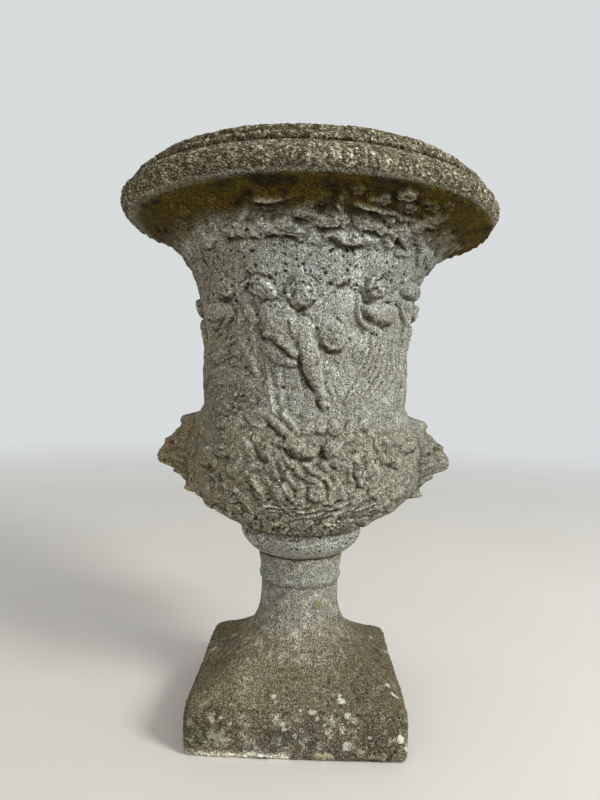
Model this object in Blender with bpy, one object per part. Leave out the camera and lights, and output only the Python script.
"""Campana garden urn in cast stone: a bowl casting with two mask lugs, a socle casting with a
square plinth, the mortar bed between them and the drain pipe that locates one on the other.

Metres, +Z up. The origin is the centre of the plinth's underside, the front faces -Y and the
mask lugs stand out along -X and +X.
"""

import math

import bmesh
import bpy

MM = 0.001

# ---- Driving dimensions, in millimetres -------------------------------------------------
# Heights are measured from a datum that lies DATUM_Z above the plinth's underside.
DATUM_Z = 10.0
HEIGHT = 798.0  # datum to the crest of the rim's roll: the urn stands 808 high
RIM_R = 284.0  # the ovolo's widest
RIM_ROLL_R = 241.0  # centre circle of the roll on top of the rim
MOUTH_R = 226.0  # clear opening inside the rim
BELL_TOP_R = 174.0  # under the garland cove
BELL_WAIST_R = 156.0
BELLY_R = 181.5  # widest of the lower bowl, behind the masks
COLLAR_R = 93.5
JOINT_Z = 238.0  # underside of the bowl casting
JOINT_R = 66.0
BED_THICKNESS = 3.4  # mortar bed
BED_R = 62.0  # raked back from the faces
CONTACT_GAP = 0.3  # between pieces that touch

SOCLE_TOP_Z = JOINT_Z - BED_THICKNESS - 2 * CONTACT_GAP
STEM_R = 59.5
PLINTH = 305.0  # side of the square plinth, 12 in
PLINTH_TOP_Z = 57.0
PLINTH_CORNER_POWER = 26.0  # superellipse power of the plinth's outline

WALL_BELL_R = 118.0  # inside of the bell
FLOOR_Z = 324.0  # lowest point of the planting cavity
DRAIN_R = 17.0  # drain bore through both castings
PIPE_R = 16.0
PIPE_BORE_R = 12.5
PIPE_BOTTOM_Z = 6.0 - DATUM_Z
PIPE_TOP_Z = JOINT_Z + 70.0

MASK_TOP_Z = 446.0
MASK_FOOT_Z = 318.0
MASK_ROOT_X = 142.0  # the flat back of a mask, buried in the wall

BOWL_SEGMENTS = 56
SOCLE_SEGMENTS = 64
PIPE_SEGMENTS = 24


# ---- Profile tools ------------------------------------------------------------------------
def arc(cr, cz, rr, rz, start, end, count):
    """Points on an ellipse arc in the (r, z) plane, angles in degrees from +r."""
    points = []
    for i in range(count + 1):
        a = math.radians(start + (end - start) * i / count)
        points.append((cr + rr * math.cos(a), cz + rz * math.sin(a)))
    return points


def through(stations, per_span):
    """A Catmull-Rom curve through the stations, each span cut into per_span chords."""
    points = []
    last = len(stations) - 1
    for i in range(last):
        p0 = stations[max(i - 1, 0)]
        p1, p2 = stations[i], stations[i + 1]
        p3 = stations[min(i + 2, last)]
        for k in range(per_span):
            t = k / per_span
            point = []
            for a, b, c, d in zip(p0, p1, p2, p3):
                point.append(
                    0.5
                    * (
                        2 * b
                        + (c - a) * t
                        + (2 * a - 5 * b + 4 * c - d) * t * t
                        + (3 * b - a - 3 * c + d) * t**3
                    )
                )
            points.append(tuple(point))
    points.append(stations[last])
    return points


def bowl_profile():
    """Closed loop in (r, z): down the outside, across the seat, and up the inside."""
    outside = []
    # roll along the top of the rim
    outside += arc(RIM_ROLL_R, HEIGHT - 9.5, 11.0, 9.5, 150, -30, 6)
    # groove, bead, groove
    outside += [(252.6, 781.2), (256.6, 780.2)]
    outside += arc(260.5, 776.6, 6.0, 5.0, 90, -66, 2)
    outside += [(262.8, 770.2)]
    # ovolo with its fillet
    outside += [(268.6, 768.4)]
    outside += arc(RIM_R - 16.0, 749.5, 16.0, 16.5, 64, -64, 4)
    outside += [(271.0, 731.8)]
    # cove under the rim, where the garland lies
    outside += through(
        [(263.0, 731.0), (240.0, 721.5), (214.0, 703.5), (194.0, 685.0), (180.5, 664.0), (BELL_TOP_R, 645.0)], 1
    )
    # bell
    outside += through(
        [(168.0, 615.0), (160.5, 573.0), (157.0, 533.0), (BELL_WAIST_R, 500.0), (158.0, 468.0), (161.5, 450.0)], 1
    )
    # ledge and lower bowl
    outside += through(
        [
            (168.0, 443.5),
            (175.0, 430.0),
            (179.5, 408.0),
            (BELLY_R, 384.0),
            (180.0, 358.0),
            (174.5, 334.0),
            (163.0, 314.5),
            (146.0, 301.0),
            (121.0, 289.5),
            (100.0, 281.0),
        ],
        1,
    )
    # crevice and collar
    outside += [(94.0, 278.5), (92.0, 275.5)]
    outside += through([(COLLAR_R, 270.5), (91.0, 262.5), (86.5, 254.5), (79.5, 247.0), (72.0, 241.2)], 1)
    outside += [(JOINT_R, JOINT_Z)]
    inside = [(DRAIN_R, JOINT_Z), (DRAIN_R, FLOOR_Z - 6.0), (DRAIN_R + 4.0, FLOOR_Z)]
    inside += through(
        [
            (50.0, 328.0),
            (84.0, 341.0),
            (104.0, 362.0),
            (114.5, 392.0),
            (WALL_BELL_R, 430.0),
            (WALL_BELL_R, 500.0),
            (119.0, 560.0),
            (124.0, 610.0),
            (136.0, 652.0),
            (156.0, 690.0),
            (185.0, 726.0),
            (211.0, 757.0),
            (MOUTH_R - 1.0, 778.0),
            (MOUTH_R + 3.0, 788.5),
        ],
        1,
    )
    return [(r * MM, z * MM) for r, z in outside + inside]


def socle_rows():
    """Closed loop of rows (r, z, power): power 2 is a circle, a high power nearly a square."""
    h = PLINTH / 2
    rows = []
    # neck with its astragal, groove and stem
    turned = [(DRAIN_R, SOCLE_TOP_Z), (63.6, SOCLE_TOP_Z)]
    turned += through([(64.8, 231.2), (63.2, 222.0), (61.8, 213.5), (61.4, 208.2)], 1)
    turned += arc(57.4, 200.0, 5.8, 7.6, 56, -56, 4)
    turned += [(58.9, 190.5)]
    turned += through([(59.3, 185.0), (STEM_R, 171.0), (60.8, 154.0), (65.0, 137.0)], 1)
    rows += [(r, z, 2.0) for r, z in turned]
    # trumpet flare that turns square as it runs out into the plinth
    flare = through([(65.0, 137.0), (74.0, 120.0), (88.0, 102.0), (106.0, 84.0), (128.0, 69.0), (h - 5.0, PLINTH_TOP_Z)], 1)
    count = len(flare) - 1
    for i, (r, z) in enumerate(flare[1:], 1):
        t = i / count
        rows.append((r, z, 2.0 + (PLINTH_CORNER_POWER - 2.0) * t**3.2))
    p = PLINTH_CORNER_POWER
    rows += [(h - 1.6, PLINTH_TOP_Z - 2.6, p), (h, PLINTH_TOP_Z - 8.0, p)]
    rows += [(h, 7.0 - DATUM_Z, p), (h - 1.8, 1.8 - DATUM_Z, p), (h - 6.0, -DATUM_Z, p)]
    rows += [(DRAIN_R, -DATUM_Z, 2.0)]
    return rows


# ---- Mesh tools ---------------------------------------------------------------------------
def link(obj, colour, roughness, metallic=0.0):
    bpy.context.scene.collection.objects.link(obj)
    material = bpy.data.materials.new(obj.name + "_material")
    material.use_nodes = True
    shader = material.node_tree.nodes["Principled BSDF"]
    shader.inputs["Base Color"].default_value = (*colour, 1.0)
    shader.inputs["Roughness"].default_value = roughness
    shader.inputs["Metallic"].default_value = metallic
    obj.data.materials.append(material)
    return obj


def smooth(obj, angle):
    obj.data.shade_smooth()
    obj.data.set_sharp_from_angle(angle=math.radians(angle))


def turned(name, loop, segments):
    """Spins a closed (r, z) loop about Z with a Screw modifier."""
    mesh = bpy.data.meshes.new(name)
    edges = [(i, (i + 1) % len(loop)) for i in range(len(loop))]
    mesh.from_pydata([(r, 0.0, z + DATUM_Z * MM) for r, z in loop], edges, [])
    obj = bpy.data.objects.new(name, mesh)
    screw = obj.modifiers.new("turn", "SCREW")
    screw.axis = "Z"
    screw.angle = 2 * math.pi
    screw.steps = segments
    screw.render_steps = segments
    screw.use_merge_vertices = True
    screw.merge_threshold = 0.00001
    screw.use_smooth_shade = True
    return obj


def superellipse(radius, power, angle):
    c, s = abs(math.cos(angle)), abs(math.sin(angle))
    return radius / (c**power + s**power) ** (1 / power)


def lofted(name, rows, segments):
    """Rings of superellipses joined in turn into one closed loop of bands."""
    bm = bmesh.new()
    rings = []
    for r, z, power in rows:
        ring = []
        for i in range(segments):
            a = 2 * math.pi * i / segments
            reach = superellipse(r * MM, power, a)
            ring.append(bm.verts.new((reach * math.cos(a), reach * math.sin(a), (z + DATUM_Z) * MM)))
        rings.append(ring)
    for k in range(len(rings)):
        upper, lower = rings[k], rings[(k + 1) % len(rings)]
        for i in range(segments):
            j = (i + 1) % segments
            bm.faces.new((upper[i], lower[i], lower[j], upper[j]))
    bmesh.ops.recalc_face_normals(bm, faces=bm.faces)
    mesh = bpy.data.meshes.new(name)
    bm.to_mesh(mesh)
    bm.free()
    return bpy.data.objects.new(name, mesh)


MASK_STATIONS = [
    # (z, reach of the ridge from the axis, half width): horn ledge, brow, nose, lip, beard
    (MASK_TOP_Z, 182.0, 52.0),
    (441.5, 193.0, 56.0),
    (434.0, 191.5, 58.0),
    (424.0, 195.5, 54.0),
    (412.0, 206.5, 48.0),
    (402.0, 216.5, 44.0),
    (392.0, 224.0, 43.0),
    (381.0, 229.5, 42.0),
    (372.0, 229.0, 40.0),
    (363.0, 219.0, 37.0),
    (354.0, 206.0, 34.0),
    (345.0, 193.0, 31.0),
    (337.0, 187.0, 28.0),
    (330.0, 188.0, 24.0),
    (324.0, 190.0, 20.0),
    (MASK_FOOT_Z, 182.0, 16.0),
]


def wall_reach(y, z):
    """x of the lower bowl's surface at (y, z), a little inside it."""
    wall = [(r / MM, h / MM) for r, h in bowl_profile()]
    reach = BELLY_R
    for (r1, z1), (r0, z0) in zip(wall, wall[1:]):
        if z0 <= z <= z1 and r0 > 80.0:
            reach = r0 + (r1 - r0) * (z - z0) / max(z1 - z0, 1e-6)
            break
    return math.sqrt(max(reach * reach - y * y, 1.0)) - 2.5


def bump(t):
    """A rounded hill, 1 at its crest and 0 from t = 1 outwards."""
    return max(0.0, 1.0 - t * t) ** 1.5


def mask_body(name, side):
    """A grotesque mask: a block with a flat back in the wall and a sculpted front."""
    columns = 12
    bm = bmesh.new()
    front, back = [], []
    for z, ridge, half in MASK_STATIONS:
        front_row, back_row = [], []
        nose_half = 12.0 if 366.0 < z < 408.0 else 20.0
        for j in range(columns + 1):
            v = -1 + 2 * j / columns
            y = half * v
            wall = wall_reach(y, z)
            rise = 0.66 * bump(v) + 0.34 * bump(y / nose_half)
            socket = 7.0 * math.exp(-(((abs(y) - 17.0) / 7.0) ** 2) - ((z - 396.0) / 8.0) ** 2)
            x = max(wall + (ridge - wall) * rise - socket, MASK_ROOT_X + 3.0)
            front_row.append(bm.verts.new((side * x * MM, y * MM, (z + DATUM_Z) * MM)))
            back_row.append(bm.verts.new((side * MASK_ROOT_X * MM, y * 0.85 * MM, (z + DATUM_Z) * MM)))
        front.append(front_row)
        back.append(back_row)
    rows = len(MASK_STATIONS) - 1
    for grid in (front, back):
        for i in range(rows):
            for j in range(columns):
                bm.faces.new((grid[i][j], grid[i][j + 1], grid[i + 1][j + 1], grid[i + 1][j]))
    for i in range(rows):
        for j in (0, columns):
            bm.faces.new((front[i][j], back[i][j], back[i + 1][j], front[i + 1][j]))
    for j in range(columns):
        for i in (0, rows):
            bm.faces.new((front[i][j], back[i][j], back[i][j + 1], front[i][j + 1]))
    bmesh.ops.recalc_face_normals(bm, faces=bm.faces)
    mesh = bpy.data.meshes.new(name)
    bm.to_mesh(mesh)
    bm.free()
    obj = bpy.data.objects.new(name, mesh)
    bpy.context.scene.collection.objects.link(obj)
    obj.hide_render = True
    obj.display_type = "WIRE"
    return obj


# ---- The urn ------------------------------------------------------------------------------
def build():
    for old in list(bpy.data.objects):
        bpy.data.objects.remove(old, do_unlink=True)

    stone = (0.205, 0.200, 0.158)
    pale_stone = (0.165, 0.150, 0.112)

    bowl = link(turned("bowl", bowl_profile(), BOWL_SEGMENTS), stone, 0.93)
    for side, name in ((1, "mask_right"), (-1, "mask_left")):
        joined = bowl.modifiers.new(name, "BOOLEAN")
        joined.operation = "UNION"
        joined.solver = "EXACT"
        joined.object = mask_body(name, side)

    socle = link(lofted("socle", socle_rows(), SOCLE_SEGMENTS), pale_stone, 0.95)
    smooth(socle, 35)

    bed_top = JOINT_Z - CONTACT_GAP
    bed_bottom = SOCLE_TOP_Z + CONTACT_GAP
    bed_inner = DRAIN_R + 4.0
    bed_loop = [
        (bed_inner, bed_top),
        (BED_R - 0.6, bed_top),
        (BED_R, (bed_top + bed_bottom) / 2),
        (BED_R - 0.6, bed_bottom),
        (bed_inner, bed_bottom),
    ]
    link(turned("mortar_bed", [(r * MM, z * MM) for r, z in bed_loop], 32), (0.32, 0.30, 0.25), 0.95)

    pipe_loop = [
        (PIPE_R - 0.8, PIPE_TOP_Z),
        (PIPE_R, PIPE_TOP_Z - 0.8),
        (PIPE_R, PIPE_BOTTOM_Z + 0.8),
        (PIPE_R - 0.8, PIPE_BOTTOM_Z),
        (PIPE_BORE_R, PIPE_BOTTOM_Z),
        (PIPE_BORE_R, PIPE_TOP_Z),
    ]
    link(turned("drain_pipe", [(r * MM, z * MM) for r, z in pipe_loop], PIPE_SEGMENTS), (0.18, 0.09, 0.05), 0.6, 0.7)


build()
